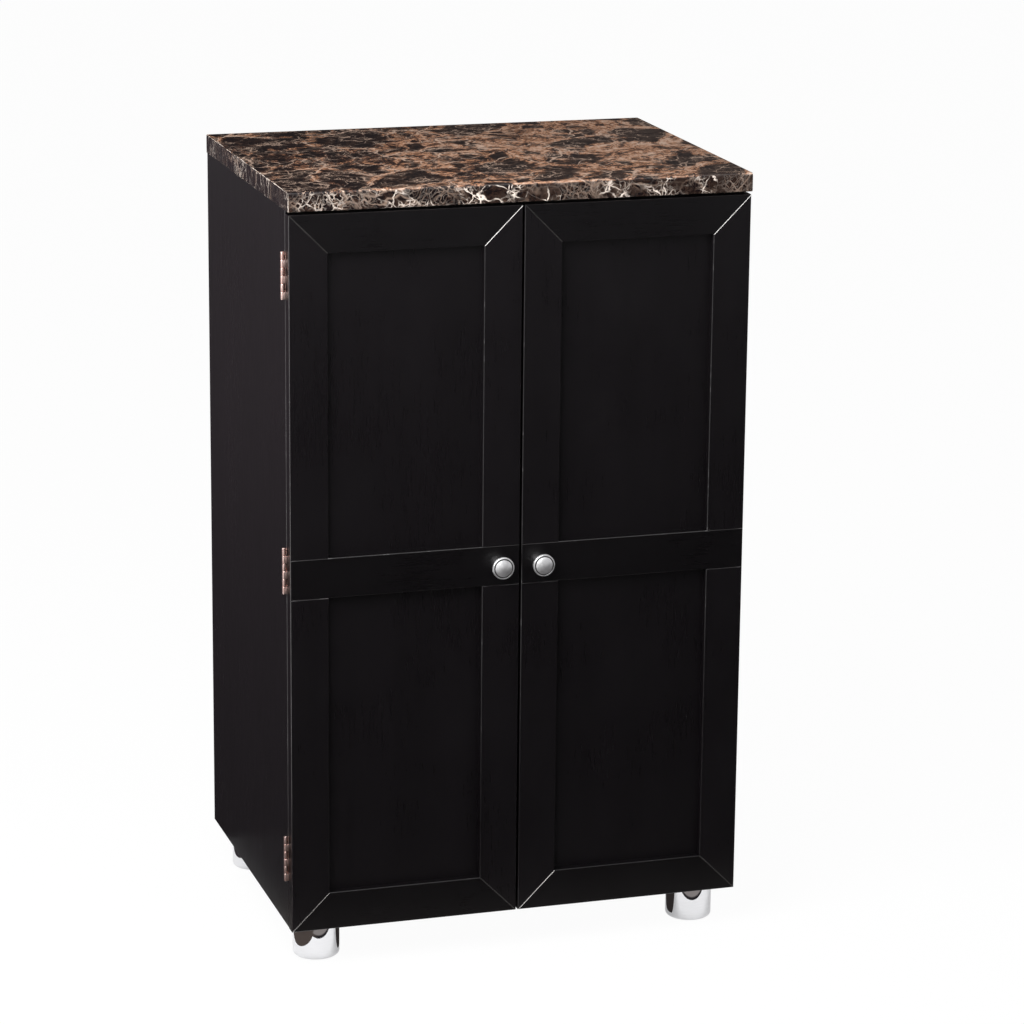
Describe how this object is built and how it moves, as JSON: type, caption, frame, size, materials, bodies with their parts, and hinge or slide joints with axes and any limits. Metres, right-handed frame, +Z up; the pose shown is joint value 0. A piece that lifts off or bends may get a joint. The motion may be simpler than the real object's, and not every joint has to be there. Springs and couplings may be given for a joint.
{
  "type": "bar cabinet",
  "caption": "Tall narrow bar cabinet with a marble-look slab top, framed doors on butt hinges, round knobs and chrome feet, and stemware rails, shelves and a bottle rack inside.",
  "frame": {"origin": "on the floor, under the middle of the cabinet's box, knobs and hinge barrels included", "axes": "+Z up, doors facing -Y, +X to the right of someone facing the doors"},
  "size_m": [0.6478, 0.4916, 1.067],
  "materials": {
    "espresso_lacquer": "satin espresso lacquer over board, nearly black",
    "black_hardboard": "black-faced hardboard",
    "marble_laminate": "gloss laminate with a dark brown marble pattern",
    "marble_edge": "edge band with the same marble pattern",
    "antique_copper": "antique copper plate, bright at the worn edges",
    "brushed_nickel": "brushed nickel",
    "polished_chrome": "polished chrome",
    "zinc_steel": "zinc-plated steel",
    "catch_plastic": "matt black moulding",
    "glide_pad": "matt black glide pad"
  },
  "bodies": {
    "carcass": {"marble_top": "marble_laminate", "left_top_edge_band": "marble_edge", "right_top_edge_band": "marble_edge", "top_fixing_screws": "zinc_steel", "cam_locks": "zinc_steel", "cam_bolts": "zinc_steel", "left_hinge_pins": "antique_copper", "right_hinge_pins": "antique_copper", "left_hinge_frame_leaves": "antique_copper", "right_hinge_frame_leaves": "antique_copper", "hinge_frame_screws": "antique_copper", "left_front_foot": "polished_chrome", "right_front_foot": "polished_chrome", "left_rear_foot": "polished_chrome", "right_rear_foot": "polished_chrome", "foot_bolts": "zinc_steel", "foot_pads": "glide_pad", "bottom_panel": "espresso_lacquer", "top_front_rail": "espresso_lacquer", "top_rear_rail": "espresso_lacquer", "fixed_shelf": "espresso_lacquer", "back_panel": "black_hardboard", "left_side_panel": "espresso_lacquer", "right_side_panel": "espresso_lacquer", "adjustable_shelf": "espresso_lacquer", "shelf_pins": "zinc_steel", "stemware_rails": "espresso_lacquer", "bottle_rack_front_rail": "espresso_lacquer", "bottle_rack_rear_rail": "espresso_lacquer", "left_magnetic_catch": "catch_plastic", "right_magnetic_catch": "catch_plastic"},
    "left_door": {"left_door_top_rail": "espresso_lacquer", "left_door_bottom_rail": "espresso_lacquer", "left_door_mid_rail": "espresso_lacquer", "left_door_upper_meeting_stile": "espresso_lacquer", "left_door_upper_hinge_stile": "espresso_lacquer", "left_door_lower_meeting_stile": "espresso_lacquer", "left_door_lower_hinge_stile": "espresso_lacquer", "left_door_upper_panel": "espresso_lacquer", "left_door_lower_panel": "espresso_lacquer", "left_hinge_door_leaves": "antique_copper", "left_hinge_door_screws": "antique_copper", "left_knob": "brushed_nickel", "left_knob_screw": "zinc_steel", "left_strike_plate": "zinc_steel"},
    "right_door": {"right_door_top_rail": "espresso_lacquer", "right_door_bottom_rail": "espresso_lacquer", "right_door_mid_rail": "espresso_lacquer", "right_door_upper_meeting_stile": "espresso_lacquer", "right_door_upper_hinge_stile": "espresso_lacquer", "right_door_lower_meeting_stile": "espresso_lacquer", "right_door_lower_hinge_stile": "espresso_lacquer", "right_door_upper_panel": "espresso_lacquer", "right_door_lower_panel": "espresso_lacquer", "right_hinge_door_leaves": "antique_copper", "right_hinge_door_screws": "antique_copper", "right_knob": "brushed_nickel", "right_knob_screw": "zinc_steel", "right_strike_plate": "zinc_steel"}
  },
  "joints": [
    {"name": "left_door_hinge", "type": "hinge", "parent": "carcass", "child": "left_door", "pos_m": [-0.3215, -0.207, 0.5], "axis": [0, 0, -1], "range_deg": [0, 180]},
    {"name": "right_door_hinge", "type": "hinge", "parent": "carcass", "child": "right_door", "pos_m": [0.3215, -0.207, 0.5], "axis": [0, 0, 1], "range_deg": [0, 180]}
  ]
}
